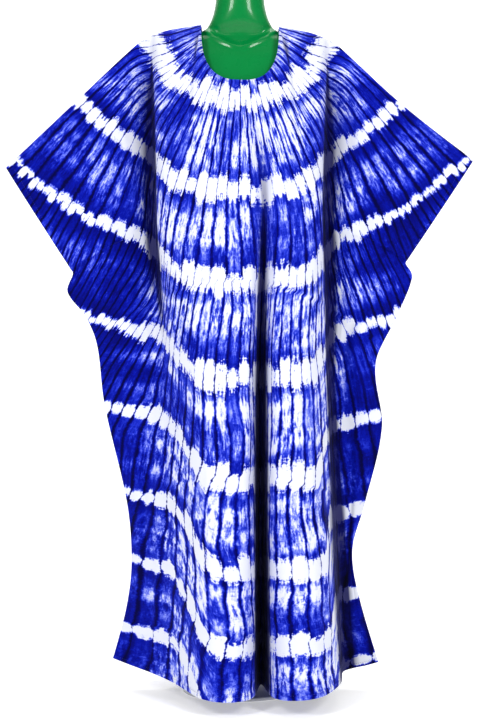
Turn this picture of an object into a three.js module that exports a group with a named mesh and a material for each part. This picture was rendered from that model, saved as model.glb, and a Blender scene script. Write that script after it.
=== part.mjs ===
// A grand boubou: one wide cotton cloth folded at the shoulders, worn by a limbless dress form on a pole
// stand. Millimetres, +Z up, the robe's front faces -Y. The origin is on the floor, under the middle of the
// neck.
import * as THREE from 'three';

// ---- driving dimensions ----
const wall = 2;                  // cloth wall
const seamGap = 0.3;             // clear gap between pieces that are sewn or laid together
const neckHalfWidth = 82;        // half of the neck hole, along the shoulder fold
const neckCornerHeight = 1395;   // where the neckline meets the shoulder fold
const frontNeckDrop = 129;       // how far the scoop falls in front
const backNeckDrop = 20;
const frontNeckDepth = 92;       // how far forward the bottom of the scoop lies
const backNeckDepth = 50;
const neckSquareness = 0.7;      // 1 is a plain half ellipse, less is a squarer U
const rightCornerLower = 4;      // the neckline's right end hangs this much lower
const hemHeight = 30;            // lowest line of the hem, at the middle
const chestRow = 0.3;            // rows run from 0 at the shoulder fold to 1 at the hem
const hipRow = 0.6;
const fallPower = 1.4;           // how slowly the cloth leaves the shoulder fold
const chestHeight = 1019;        // height of the chest row at the middle of the front
const shoulderBlades = 1060;     // height of the same row at the middle of the back
const cuffOpening = 15;          // half of the gap of the sleeve opening, at its middle
const gapeReach = 2;             // folds over which the opening closes inward
const hemWidth = 12;             // turned hems and binding
const bindingWidth = 7;
const hemThickness = 1;
const seamReach = 3;             // folds over which the side edge's own line shows
const cuffFoldWidth = 86;        // width of the outermost fold along the sleeve opening
const columnsPerFold = 3;
const rowsAbove = 6;             // mesh rows above and below the chest row
const rowsBelow = 13;

// Height of the shoulder fold at each distance from the middle.
const shoulder = [
  { out: 82, left: 1395, right: 1391 },
  { out: 150, left: 1384, right: 1378 },
  { out: 199, left: 1367, right: 1357 },
  { out: 232, left: 1341, right: 1328 },
  { out: 320, left: 1258, right: 1246 },
  { out: 400, left: 1182, right: 1180 },
  { out: 491, left: 1096, right: 1111 },
];

// The side edge of both panels: the sleeve opening down to the underarm, then the side seam.
const sideEdge = [
  { row: 0.00, leftX: -491, leftZ: 1096, rightX: 490, rightZ: 1111 },
  { row: 0.15, leftX: -421, leftZ: 987, rightX: 419, rightZ: 1005 },
  { row: 0.30, leftX: -351, leftZ: 878, rightX: 348, rightZ: 899 },
  { row: 0.335, leftX: -362, leftZ: 836, rightX: 361, rightZ: 866 },
  { row: 0.38, leftX: -325, leftZ: 786, rightX: 331, rightZ: 789 },
  { row: 0.44, leftX: -300, leftZ: 725, rightX: 285, rightZ: 689 },
  { row: 0.54, leftX: -284, leftZ: 599, rightX: 298, rightZ: 554 },
  { row: 0.69, leftX: -237, leftZ: 395, rightX: 262, rightZ: 393 },
  { row: 0.79, leftX: -227, leftZ: 273, rightX: 234, rightZ: 290 },
  { row: 0.88, leftX: -237, leftZ: 179, rightX: 250, rightZ: 194 },
  { row: 1.00, leftX: -266, leftZ: 67, rightX: 290, rightZ: 59 },
];

// Crease lines of the front, from the left seam to the right seam: where each one leaves the shoulder fold or
// the neckline, and where it passes the chest, the hips and the hem. Depths are forward of the shoulder fold.
const frontFolds = [
  { name: 'left seam', topX: -491, chestX: -351, chest: 0, hipX: -270, hip: 0, hemX: -266, hem: 0 },
  { name: 'left wing', topX: -395, chestX: -272, chest: 26, hipX: -228, hip: 22, hemX: -226, hem: 24 },
  { name: 'left wing root', topX: -262, chestX: -206, chest: 10, hipX: -190, hip: 34, hemX: -182, hem: 56 },
  { name: 'left valley', topX: -194, chestX: -178, chest: 14, hipX: -156, hip: 58, hemX: -138, hem: 110 },
  { name: 'left wall', topX: -166, chestX: -162, chest: 98, hipX: -122, hip: 112, hemX: -102, hem: 184 },
  { name: 'left crest', topX: -82, chestX: -112, chest: 132, hipX: -82, hip: 168, hemX: -74, hem: 240 },
  { name: 'left front', topX: -60, chestX: -66, chest: 139, hipX: -40, hip: 182, hemX: -26, hem: 262 },
  { name: 'valley left wall', topX: -32, chestX: 20, chest: 140, hipX: 18, hip: 172, hemX: 22, hem: 222 },
  { name: 'valley', topX: 0, chestX: 46, chest: 122, hipX: 41, hip: 96, hemX: 43, hem: 90 },
  { name: 'valley right wall', topX: 32, chestX: 76, chest: 137, hipX: 66, hip: 170, hemX: 66, hem: 220 },
  { name: 'right front', topX: 60, chestX: 100, chest: 134, hipX: 102, hip: 184, hemX: 108, hem: 262 },
  { name: 'right crest', topX: 82, chestX: 134, chest: 120, hipX: 142, hip: 170, hemX: 160, hem: 246 },
  { name: 'right wall', topX: 166, chestX: 162, chest: 94, hipX: 174, hip: 108, hemX: 200, hem: 150 },
  { name: 'right valley', topX: 192, chestX: 180, chest: 14, hipX: 194, hip: 30, hemX: 212, hem: 40 },
  { name: 'right wing root', topX: 262, chestX: 212, chest: 10, hipX: 218, hip: 14, hemX: 236, hem: 16 },
  { name: 'right wing', topX: 394, chestX: 274, chest: 24, hipX: 252, hip: 12, hemX: 264, hem: 10 },
  { name: 'right seam', topX: 490, chestX: 348, chest: 0, hipX: 290, hip: 0, hemX: 290, hem: 0 },
];

// The same for the back, where depths are behind the shoulder fold.
const backFolds = [
  { name: 'left seam', topX: -491, chestX: -351, chest: 0, hipX: -270, hip: 0, hemX: -266, hem: 0 },
  { name: 'left wing', topX: -395, chestX: -274, chest: 16, hipX: -230, hip: 18, hemX: -226, hem: 16 },
  { name: 'left wing root', topX: -262, chestX: -210, chest: 14, hipX: -190, hip: 16, hemX: -172, hem: 20 },
  { name: 'left valley', topX: -194, chestX: -180, chest: 18, hipX: -160, hip: 36, hemX: -138, hem: 46 },
  { name: 'left wall', topX: -166, chestX: -158, chest: 88, hipX: -134, hip: 100, hemX: -120, hem: 134 },
  { name: 'left crest', topX: -82, chestX: -116, chest: 106, hipX: -98, hip: 138, hemX: -92, hem: 196 },
  { name: 'left back', topX: -56, chestX: -74, chest: 113, hipX: -60, hip: 142, hemX: -52, hem: 190 },
  { name: 'left trough', topX: -29, chestX: -34, chest: 114, hipX: -26, hip: 122, hemX: -20, hem: 132 },
  { name: 'middle back', topX: 0, chestX: 2, chest: 117, hipX: 8, hip: 136, hemX: 16, hem: 178 },
  { name: 'right trough', topX: 29, chestX: 38, chest: 114, hipX: 42, hip: 124, hemX: 50, hem: 128 },
  { name: 'right back', topX: 56, chestX: 76, chest: 112, hipX: 76, hip: 144, hemX: 88, hem: 186 },
  { name: 'right crest', topX: 82, chestX: 118, chest: 104, hipX: 118, hip: 142, hemX: 136, hem: 200 },
  { name: 'right wall', topX: 166, chestX: 158, chest: 86, hipX: 156, hip: 98, hemX: 174, hem: 130 },
  { name: 'right valley', topX: 192, chestX: 182, chest: 18, hipX: 184, hip: 34, hemX: 198, hem: 40 },
  { name: 'right wing root', topX: 262, chestX: 216, chest: 14, hipX: 216, hip: 18, hemX: 230, hem: 16 },
  { name: 'right wing', topX: 394, chestX: 276, chest: 20, hipX: 252, hip: 14, hemX: 262, hem: 12 },
  { name: 'right seam', topX: 490, chestX: 348, chest: 0, hipX: 290, hip: 0, hemX: 290, hem: 0 },
];
const neckCorners = [5, 11];     // the fold lines that start at the two ends of the neckline

// Sections of the dress form, from its closed bottom to the top of its neck.
const formSections = [
  { height: 716, width: 96, front: 58, back: 60 },
  { height: 726, width: 128, front: 78, back: 82 },
  { height: 760, width: 147, front: 90, back: 96 },
  { height: 840, width: 142, front: 88, back: 92 },
  { height: 930, width: 122, front: 82, back: 78 },
  { height: 1040, width: 134, front: 98, back: 84 },
  { height: 1130, width: 146, front: 108, back: 92 },
  { height: 1210, width: 156, front: 98, back: 92 },
  { height: 1270, width: 164, front: 84, back: 84 },
  { height: 1315, width: 170, front: 66, back: 66 },
  { height: 1343, width: 168, front: 50, back: 50 },
  { height: 1360, width: 150, front: 40, back: 42 },
  { height: 1371, width: 108, front: 33, back: 38 },
  { height: 1383, width: 77, front: 36, back: 41 },
  { height: 1398, width: 64, front: 43, back: 46 },
  { height: 1422, width: 55, front: 46, back: 48 },
  { height: 1450, width: 50.5, front: 46, back: 47 },
  { height: 1476, width: 50.5, front: 46, back: 47 },
];
const formSides = 32;
const capHeight = 9;
const capStraight = 5.4;         // height at which the cap's rounded rim starts
const capRim = 5;
const collarSides = 24;
const poleSides = 20;
const baseSides = 64;
const poleRadius = 12.5;
const baseRadius = 120;
const baseThickness = 8;
const collarRadius = 24;
const collarHeight = 34;

const clamp01 = (value) => Math.min(1, Math.max(0, value));
const mix = (a, b, t) => a + (b - a) * t;

// A smooth curve through one column of a table, read at a place in another column.
function along(rows, keyColumn, column, key) {
  const last = rows.length - 1;
  let i = 0;
  while (i < last - 1 && key > rows[i + 1][keyColumn]) i += 1;
  const slope = (k) => {
    const before = rows[Math.max(k - 1, 0)];
    const after = rows[Math.min(k + 1, last)];
    return (after[column] - before[column]) / (after[keyColumn] - before[keyColumn]);
  };
  const span = rows[i + 1][keyColumn] - rows[i][keyColumn];
  const t = clamp01((key - rows[i][keyColumn]) / span);
  const startWeight = 2 * t ** 3 - 3 * t ** 2 + 1;
  return startWeight * rows[i][column] + (1 - startWeight) * rows[i + 1][column]
    + span * slope(i) * (t ** 3 - 2 * t ** 2 + t) + span * slope(i + 1) * (t ** 3 - t ** 2);
}

// A smooth curve through one column of a fold table, read at a place counted in folds.
function across(folds, column, place) {
  const numbered = folds.map((fold, index) => ({ index, value: fold[column] }));
  return along(numbered, 'index', 'value', place);
}

// The top line of a panel: the shoulder fold, with the neckline in its middle.
function topPoint(panel, place) {
  const [leftCorner, rightCorner] = neckCorners;
  if (place > leftCorner && place < rightCorner) {
    const middle = (leftCorner + rightCorner) / 2;
    const turn = ((place - middle) / (rightCorner - leftCorner)) * Math.PI;
    const drop = Math.cos(turn) ** neckSquareness;
    const x = neckHalfWidth * Math.sign(turn) * Math.abs(Math.sin(turn)) ** neckSquareness;
    const rightLower = rightCornerLower * clamp01((x + neckHalfWidth) / (2 * neckHalfWidth));
    const z = neckCornerHeight - rightLower - panel.neckDrop * drop;
    return { x, depth: panel.neckDepth * Math.sqrt(drop), z };
  }
  const x = across(panel.folds, 'topX', place);
  const side = x < 0 ? 'left' : 'right';
  return { x, depth: 0, z: along(shoulder, 'out', side, Math.abs(x)) };
}

// A point of a panel below its chest row.
function lowerPoint(panel, place, row) {
  const levels = [
    { row: chestRow, x: across(panel.folds, 'chestX', place), depth: across(panel.folds, 'chest', place) },
    { row: hipRow, x: across(panel.folds, 'hipX', place), depth: across(panel.folds, 'hip', place) },
    { row: 1, x: across(panel.folds, 'hemX', place), depth: across(panel.folds, 'hem', place) },
  ];
  const side = place < panel.folds.length / 2 ? 'left' : 'right';
  const edgeX = along(sideEdge, 'row', side + 'X', row);
  const edgeZ = along(sideEdge, 'row', side + 'Z', row);
  const seamPlace = side === 'left' ? 0 : panel.folds.length - 1;
  const nearSeam = clamp01(1 - Math.abs(place - seamPlace) / seamReach) ** 2;
  const tableEdgeX = along([
    { row: chestRow, x: panel.folds[seamPlace].chestX },
    { row: hipRow, x: panel.folds[seamPlace].hipX },
    { row: 1, x: panel.folds[seamPlace].hemX },
  ], 'row', 'x', row);
  const x = along(levels, 'row', 'x', row) + (edgeX - tableEdgeX) * nearSeam;
  const middleHeight = mix(panel.chestHeight, hemHeight, (row - chestRow) / (1 - chestRow));
  const droop = Math.min(1, Math.abs(x / edgeX)) ** mix(1.5, 2, row);
  return { x, depth: along(levels, 'row', 'depth', row), z: mix(middleHeight, edgeZ, droop) };
}

// A point of a panel's middle surface, at a place counted in folds and a row from 0 to 1.
function panelPoint(panel, place, row) {
  let point = lowerPoint(panel, place, Math.max(row, chestRow));
  if (row < chestRow) {
    const top = topPoint(panel, place);
    const fallen = (row / chestRow) ** fallPower;
    const eased = 1 - (1 - fallen) ** 2;
    point = {
      x: mix(top.x, point.x, mix(fallen, eased, 0.6)),
      depth: mix(top.depth, point.depth, Math.sqrt(eased)),
      z: mix(top.z, point.z, fallen),
    };
    // The last folds keep to the straight cuff edge.
    const seamPlace = place < panel.folds.length / 2 ? 0 : panel.folds.length - 1;
    const side = seamPlace === 0 ? 'left' : 'right';
    const nearSeam = clamp01(1 - Math.abs(place - seamPlace) / seamReach) ** 2;
    point.x = mix(point.x, mix(top.x, along(sideEdge, 'row', side + 'X', chestRow), fallen), nearSeam);
    point.z = mix(point.z, mix(top.z, along(sideEdge, 'row', side + 'Z', chestRow), fallen), nearSeam);
  }
  const seam = Math.min(place, panel.folds.length - 1 - place);
  const gape = row < chestRow ? cuffOpening * Math.sin((Math.PI * row) / chestRow) : 0;
  const lens = gape * clamp01(1 - seam / gapeReach);
  const halfGap = (seamGap + wall) / 2;
  return new THREE.Vector3(point.x, panel.facing * (point.depth + lens + halfGap), point.z);
}

// A closed wall over part of a panel, between two distances out from its middle surface.
function panelWall(panel, places, rows, inner, outer) {
  const step = 0.004; // of a fold or of the panel's height, for the direction of the cloth
  const lastPlace = panel.folds.length - 1;
  const layer = (distance) => places.map((place) => rows.map((row) => {
    const [placeA, placeB] = [Math.max(place - step, 0), Math.min(place + step, lastPlace)];
    const [rowA, rowB] = [Math.max(row - step, 0), Math.min(row + step, 1)];
    const acrossCloth = panelPoint(panel, placeB, row).sub(panelPoint(panel, placeA, row));
    const downCloth = panelPoint(panel, place, rowB).sub(panelPoint(panel, place, rowA));
    const out = downCloth.cross(acrossCloth).normalize().multiplyScalar(-panel.facing);
    const point = panelPoint(panel, place, row).addScaledVector(out, distance);
    const clear = (seamGap / 2) * panel.facing;
    point.y = panel.facing > 0 ? Math.max(point.y, clear) : Math.min(point.y, clear);
    return point;
  }));
  const outerLayer = layer(outer);
  const innerLayer = layer(inner);
  const vertices = [];
  const numbered = [outerLayer, innerLayer].map((grid) => grid.map((line) => line.map((point) => {
    vertices.push(point.x, point.y, point.z);
    return vertices.length / 3 - 1;
  })));
  const [out, back] = numbered;
  const triangles = [];
  const quad = (a, b, c, d) => {
    if (panel.facing < 0) triangles.push(a, b, c, a, c, d);
    else triangles.push(a, c, b, a, d, c);
  };
  const lastColumn = places.length - 1;
  const lastRow = rows.length - 1;
  for (let i = 0; i < lastColumn; i += 1) {
    for (let j = 0; j < lastRow; j += 1) {
      quad(out[i][j], out[i][j + 1], out[i + 1][j + 1], out[i + 1][j]);
      quad(back[i][j], back[i + 1][j], back[i + 1][j + 1], back[i][j + 1]);
    }
    quad(out[i][0], out[i + 1][0], back[i + 1][0], back[i][0]);
    quad(out[i + 1][lastRow], out[i][lastRow], back[i][lastRow], back[i + 1][lastRow]);
  }
  for (let j = 0; j < lastRow; j += 1) {
    quad(out[0][j + 1], out[0][j], back[0][j], back[0][j + 1]);
    quad(out[lastColumn][j], out[lastColumn][j + 1], back[lastColumn][j + 1], back[lastColumn][j]);
  }
  return closedGeometry(vertices, triangles);
}

function closedGeometry(vertices, triangles) {
  const geometry = new THREE.BufferGeometry();
  geometry.setAttribute('position', new THREE.Float32BufferAttribute(vertices, 3));
  geometry.setIndex(triangles);
  geometry.computeVertexNormals();
  return geometry;
}

const evenly = (from, to, count) => Array.from({ length: count + 1 }, (_, i) => mix(from, to, i / count));

// A solid lofted through oval sections from the bottom up, with flat ends.
function ovalLoft(sections, sides) {
  const vertices = [];
  const triangles = [];
  sections.forEach((section) => {
    for (let i = 0; i < sides; i += 1) {
      const turn = (2 * Math.PI * i) / sides;
      const depth = Math.sin(turn) < 0 ? section.front : section.back;
      vertices.push(section.width * Math.cos(turn), depth * Math.sin(turn), section.height);
    }
  });
  for (let level = 0; level < sections.length - 1; level += 1) {
    for (let i = 0; i < sides; i += 1) {
      const next = (i + 1) % sides;
      const [a, b] = [level * sides + i, level * sides + next];
      triangles.push(a, b, b + sides, a, b + sides, a + sides);
    }
  }
  const bottom = vertices.length / 3;
  vertices.push(0, 0, sections[0].height);
  vertices.push(0, 0, sections[sections.length - 1].height);
  const topRing = (sections.length - 1) * sides;
  for (let i = 0; i < sides; i += 1) {
    const next = (i + 1) % sides;
    triangles.push(bottom, next, i, bottom + 1, topRing + i, topRing + next);
  }
  return closedGeometry(vertices, triangles);
}

const roundBar = (radius, from, to, sides) => {
  const geometry = new THREE.CylinderGeometry(radius, radius, to - from, sides);
  geometry.rotateX(Math.PI / 2);
  geometry.translate(0, 0, (from + to) / 2);
  return geometry;
};

const materials = {
  cloth: new THREE.MeshStandardMaterial({ color: 0x2a3bc8, roughness: 0.85, metalness: 0 }),
  binding: new THREE.MeshStandardMaterial({ color: 0x101c74, roughness: 0.85, metalness: 0 }),
  form: new THREE.MeshStandardMaterial({ color: 0x07773c, roughness: 0.25, metalness: 0 }),
  stand: new THREE.MeshStandardMaterial({ color: 0xd9dadb, roughness: 0.4, metalness: 0.3 }),
};

const front = {
  folds: frontFolds, facing: -1, neckDrop: frontNeckDrop, neckDepth: frontNeckDepth, chestHeight,
};
const back = {
  folds: backFolds, facing: 1, neckDrop: backNeckDrop, neckDepth: backNeckDepth, chestHeight: shoulderBlades,
};

const robeOnForm = new THREE.Group();
const add = (name, geometry, material) => {
  const mesh = new THREE.Mesh(geometry, material);
  mesh.name = name;
  robeOnForm.add(mesh);
};

// The mesh columns and rows of a panel. Each trim's inner edge is one of them, so that trim and panel match.
const lastFold = frontFolds.length - 1;
const cuffFold = hemWidth / cuffFoldWidth;
const inOrder = (...numbers) => numbers.flat().sort((a, b) => a - b);
const columns = inOrder(evenly(0, lastFold, lastFold * columnsPerFold), cuffFold, lastFold - cuffFold);
const upperRows = evenly(0, chestRow, rowsAbove);
const lowerRows = evenly(chestRow, 1, rowsBelow).slice(1);
const hemRow = 1 - (hemWidth / chestHeight) * (1 - chestRow);
const laidOn = wall / 2 + seamGap;

[['front', front], ['back', back]].forEach(([name, panel]) => {
  const fallOfNeck = neckCornerHeight - panel.neckDrop - panel.chestHeight;
  const bindingRow = chestRow * (bindingWidth / fallOfNeck) ** (1 / fallPower);
  const rows = inOrder(upperRows, lowerRows, bindingRow, hemRow);
  add(`${name}_panel`, panelWall(panel, columns, rows, -wall / 2, wall / 2), materials.cloth);

  const trim = (trimName, places, trimRows, material) => {
    add(trimName, panelWall(panel, places, trimRows, laidOn, laidOn + hemThickness), material);
  };
  const cuffRows = upperRows.slice(1, -1);
  trim(`hem_${name}`, columns, [hemRow, 1], materials.cloth);
  trim(`cuff_hem_left_${name}`, [0, cuffFold], cuffRows, materials.cloth);
  trim(`cuff_hem_right_${name}`, [lastFold - cuffFold, lastFold], cuffRows, materials.cloth);
  const neckColumns = columns.filter((place) => place > neckCorners[0] + 0.1 && place < neckCorners[1] - 0.1);
  trim(`neck_binding_${name}`, neckColumns, [0, bindingRow], materials.binding);
});

const neckTop = formSections[formSections.length - 1];
const capFrom = neckTop.height + seamGap;
add('form_torso', ovalLoft(formSections, formSides), materials.form);
add('form_neck_cap', ovalLoft([
  { ...neckTop, height: capFrom },
  { ...neckTop, height: capFrom + capStraight },
  {
    height: capFrom + capHeight,
    width: neckTop.width - capRim,
    front: neckTop.front - capRim,
    back: neckTop.back - capRim,
  },
], formSides), materials.stand);

const formBottom = formSections[0].height;
const collarFrom = formBottom - seamGap - collarHeight;
add('form_collar', roundBar(collarRadius, collarFrom, formBottom - seamGap, collarSides), materials.stand);
const poleFrom = baseThickness + seamGap;
add('form_pole', roundBar(poleRadius, poleFrom, collarFrom - seamGap, poleSides), materials.stand);
add('form_base', roundBar(baseRadius, 0, baseThickness, baseSides), materials.stand);

export default robeOnForm;
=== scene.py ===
"""Looks of the grand boubou robe on its dress form: Blender 4.5, metres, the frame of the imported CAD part."""

import math

import bpy
import numpy as np
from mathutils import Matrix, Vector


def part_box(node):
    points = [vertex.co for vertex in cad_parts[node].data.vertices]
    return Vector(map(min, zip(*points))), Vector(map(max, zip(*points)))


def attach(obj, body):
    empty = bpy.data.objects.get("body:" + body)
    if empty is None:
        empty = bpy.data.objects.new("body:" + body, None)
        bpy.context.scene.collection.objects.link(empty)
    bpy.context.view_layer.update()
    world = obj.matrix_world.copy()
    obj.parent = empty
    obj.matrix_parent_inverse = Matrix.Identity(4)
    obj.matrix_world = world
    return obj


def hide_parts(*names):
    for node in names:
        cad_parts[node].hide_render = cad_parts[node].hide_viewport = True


MM = 0.001
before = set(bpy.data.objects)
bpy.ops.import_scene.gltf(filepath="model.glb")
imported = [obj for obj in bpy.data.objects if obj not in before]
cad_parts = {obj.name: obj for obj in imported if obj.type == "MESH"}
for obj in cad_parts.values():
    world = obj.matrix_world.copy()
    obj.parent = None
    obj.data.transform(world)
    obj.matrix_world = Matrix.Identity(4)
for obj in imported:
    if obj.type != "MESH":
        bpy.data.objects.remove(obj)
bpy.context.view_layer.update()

# ---------------------------------------------------------------- camera, light and floor

CAMERA_DISTANCE = 3.3
CAMERA_HEIGHT = 0.693
VIEW_HEIGHT = 1.512  # how much of the shoulder plane the picture's height takes in
BACKDROP_RADIUS = 1.2


def make_camera():
    data = bpy.data.cameras.new("camera")
    camera = bpy.data.objects.new("camera", data)
    bpy.context.collection.objects.link(camera)
    camera.location = (0, -CAMERA_DISTANCE, CAMERA_HEIGHT)
    camera.rotation_euler = (math.radians(90), 0, 0)
    data.sensor_fit = "VERTICAL"
    data.angle_y = 2 * math.atan(VIEW_HEIGHT / 2 / CAMERA_DISTANCE)
    bpy.context.scene.camera = camera


def area_light(name, place, aim, size, power):
    data = bpy.data.lights.new(name, "AREA")
    data.shape = "RECTANGLE"
    data.size, data.size_y = size
    data.energy = power
    light = bpy.data.objects.new(name, data)
    bpy.context.collection.objects.link(light)
    light.location = place
    aim_line = np.array(aim, float) - np.array(place, float)
    flat = math.hypot(aim_line[0], aim_line[1])
    light.rotation_euler = (math.atan2(flat, -aim_line[2]), 0, math.atan2(-aim_line[0], aim_line[1]))


def make_studio():
    """A floor that sweeps up into a wall behind, both plain white, and big soft lights."""
    world = bpy.data.worlds.new("studio")
    world.use_nodes = True
    world.node_tree.nodes["Background"].inputs["Color"].default_value = (1, 1, 1, 1)
    world.node_tree.nodes["Background"].inputs["Strength"].default_value = 0.22
    bpy.context.scene.world = world

    half_width, front_y, wall_y, top = 9.0, -9.0, 4.6, 7.0
    profile = [(front_y, 0.0)]
    for step in range(25):
        turn = math.pi / 2 * step / 24
        y = wall_y - BACKDROP_RADIUS * (1 - math.sin(turn))
        profile.append((y, BACKDROP_RADIUS * (1 - math.cos(turn))))
    profile.append((wall_y, top))
    points = [(side * half_width, y, z) for y, z in profile for side in (-1, 1)]
    faces = [(2 * i, 2 * i + 1, 2 * i + 3, 2 * i + 2) for i in range(len(profile) - 1)]
    mesh = bpy.data.meshes.new("backdrop")
    mesh.from_pydata(points, [], faces)
    for face in mesh.polygons:
        face.use_smooth = True
    backdrop = bpy.data.objects.new("backdrop", mesh)
    bpy.context.collection.objects.link(backdrop)
    material = bpy.data.materials.new("backdrop_paper")
    material.use_nodes = True
    shader = material.node_tree.nodes["Principled BSDF"]
    shader.inputs["Base Color"].default_value = (0.9, 0.9, 0.89, 1)
    shader.inputs["Roughness"].default_value = 0.9
    shader.inputs["Emission Color"].default_value = (1, 1, 1, 1)
    shader.inputs["Emission Strength"].default_value = 0.42
    mesh.materials.append(material)

    area_light("key", (-1.9, -2.8, 2.5), (0, 0, 0.75), (0.8, 1.1), 66)
    area_light("fill", (1.9, -2.7, 2.4), (0, 0, 0.7), (0.8, 1.1), 60)
    area_light("top", (0, 0.6, 3.6), (0, 0.1, 0.8), (3.0, 2.0), 34)
    area_light("backdrop_wash", (0, 1.4, 3.9), (0, 4.6, 1.0), (4.5, 1.0), 80)
    bpy.context.scene.view_settings.view_transform = "Standard"


# ---------------------------------------------------------------- the cloth's form, as in the CAD part

WALL = 1.6 * MM
NECK_HALF_WIDTH = 82 * MM
NECK_CORNER_HEIGHT = 1395 * MM
NECK_SQUARENESS = 0.7
RIGHT_CORNER_LOWER = 4 * MM
HEM_HEIGHT = 30 * MM
CHEST_ROW, HIP_ROW = 0.3, 0.6
CUFF_OPENING = 15 * MM
FALL_POWER = 1.4
LAST_FOLD = 16
NECK_CORNERS = (5, 11)
HEM_WIDTH = 12 * MM
LEVELS_PER_SECTION = 14
BINDING_WIDTH = 5 * MM
HEM_THICKNESS = 0.7 * MM
BINDING_THICKNESS = 1.0 * MM
BAND_GAP = 0.12 * MM     # between the panel and a hem or binding laid on it
BAND_STEPS = 5           # mesh steps across a hem, cuff or binding
RIM_SWELL = 0.45         # how thick a band is at its rims, as a share of its middle
BINDING_COLUMNS = 96
THREAD_LIFT = 0.1 * MM   # how far the stitches' line stands off the band
HALF_GAP = 0.05 * MM     # how far each panel keeps from the plane between front and back
SEAM_REACH = 3           # how many folds in from a side edge follow it
GAPE_REACH = 2           # how many folds in from a cuff stand open with it
CUFF_FOLD_WIDTH = 86 * MM

# Height of the shoulder fold at each distance from the middle: out, left, right.
SHOULDER = np.array([
    (82, 1395, 1391), (150, 1384, 1378), (199, 1367, 1357), (232, 1341, 1328),
    (320, 1258, 1246), (400, 1182, 1180), (491, 1096, 1111),
]) * MM

# The sleeve opening down to the underarm, then the side seam: row, left x, left z, right x, right z.
SIDE_EDGE = np.array([
    (0.00, -491, 1096, 490, 1111), (0.15, -421, 987, 419, 1005), (0.30, -351, 878, 348, 899),
    (0.335, -362, 836, 361, 866), (0.38, -325, 786, 331, 789), (0.44, -300, 725, 285, 689),
    (0.54, -284, 599, 298, 554), (0.69, -237, 395, 262, 393), (0.79, -227, 273, 234, 290),
    (0.88, -237, 179, 250, 194), (1.00, -266, 67, 290, 59),
]) * (1, MM, MM, MM, MM)

FOLD_COLUMNS = ("top_x", "chest_x", "chest", "hip_x", "hip", "hem_x", "hem")
# Crease lines of the front from seam to seam: x at the top, chest, hips and hem, with their depths.
FRONT_FOLDS = np.array([
    (-491, -351, 0, -270, 0, -266, 0),        # left seam
    (-395, -272, 26, -228, 22, -226, 24),     # left wing
    (-262, -206, 10, -190, 34, -182, 56),     # left wing root
    (-194, -178, 14, -156, 58, -138, 110),    # left valley
    (-166, -162, 98, -122, 112, -102, 184),   # left wall
    (-82, -112, 132, -82, 168, -74, 240),     # left crest
    (-60, -66, 139, -40, 182, -26, 262),      # left front
    (-32, 20, 140, 18, 172, 22, 222),         # valley's left wall
    (0, 46, 122, 41, 96, 43, 90),             # valley
    (32, 76, 137, 66, 170, 66, 220),          # valley's right wall
    (60, 100, 134, 102, 184, 108, 262),       # right front
    (82, 134, 120, 142, 170, 160, 246),       # right crest
    (166, 162, 94, 174, 108, 200, 150),       # right wall
    (192, 180, 14, 194, 30, 212, 40),         # right valley
    (262, 212, 10, 218, 14, 236, 16),         # right wing root
    (394, 274, 24, 252, 12, 264, 10),         # right wing
    (490, 348, 0, 290, 0, 290, 0),            # right seam
]) * MM
BACK_FOLDS = np.array([
    (-491, -351, 0, -270, 0, -266, 0),        # left seam
    (-395, -274, 16, -230, 18, -226, 16),     # left wing
    (-262, -210, 14, -190, 16, -172, 20),     # left wing root
    (-194, -180, 18, -160, 36, -138, 46),     # left valley
    (-166, -158, 88, -134, 100, -120, 134),   # left wall
    (-82, -116, 106, -98, 138, -92, 196),     # left crest
    (-56, -74, 113, -60, 142, -52, 190),      # left back
    (-29, -34, 114, -26, 122, -20, 132),      # left trough
    (0, 2, 117, 8, 136, 16, 178),             # middle back
    (29, 38, 114, 42, 124, 50, 128),          # right trough
    (56, 76, 112, 76, 144, 88, 186),          # right back
    (82, 118, 104, 118, 142, 136, 200),       # right crest
    (166, 158, 86, 156, 98, 174, 130),        # right wall
    (192, 182, 18, 184, 34, 198, 40),         # right valley
    (262, 216, 14, 216, 18, 230, 16),         # right wing root
    (394, 276, 20, 252, 14, 262, 12),         # right wing
    (490, 348, 0, 290, 0, 290, 0),            # right seam
]) * MM

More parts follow.
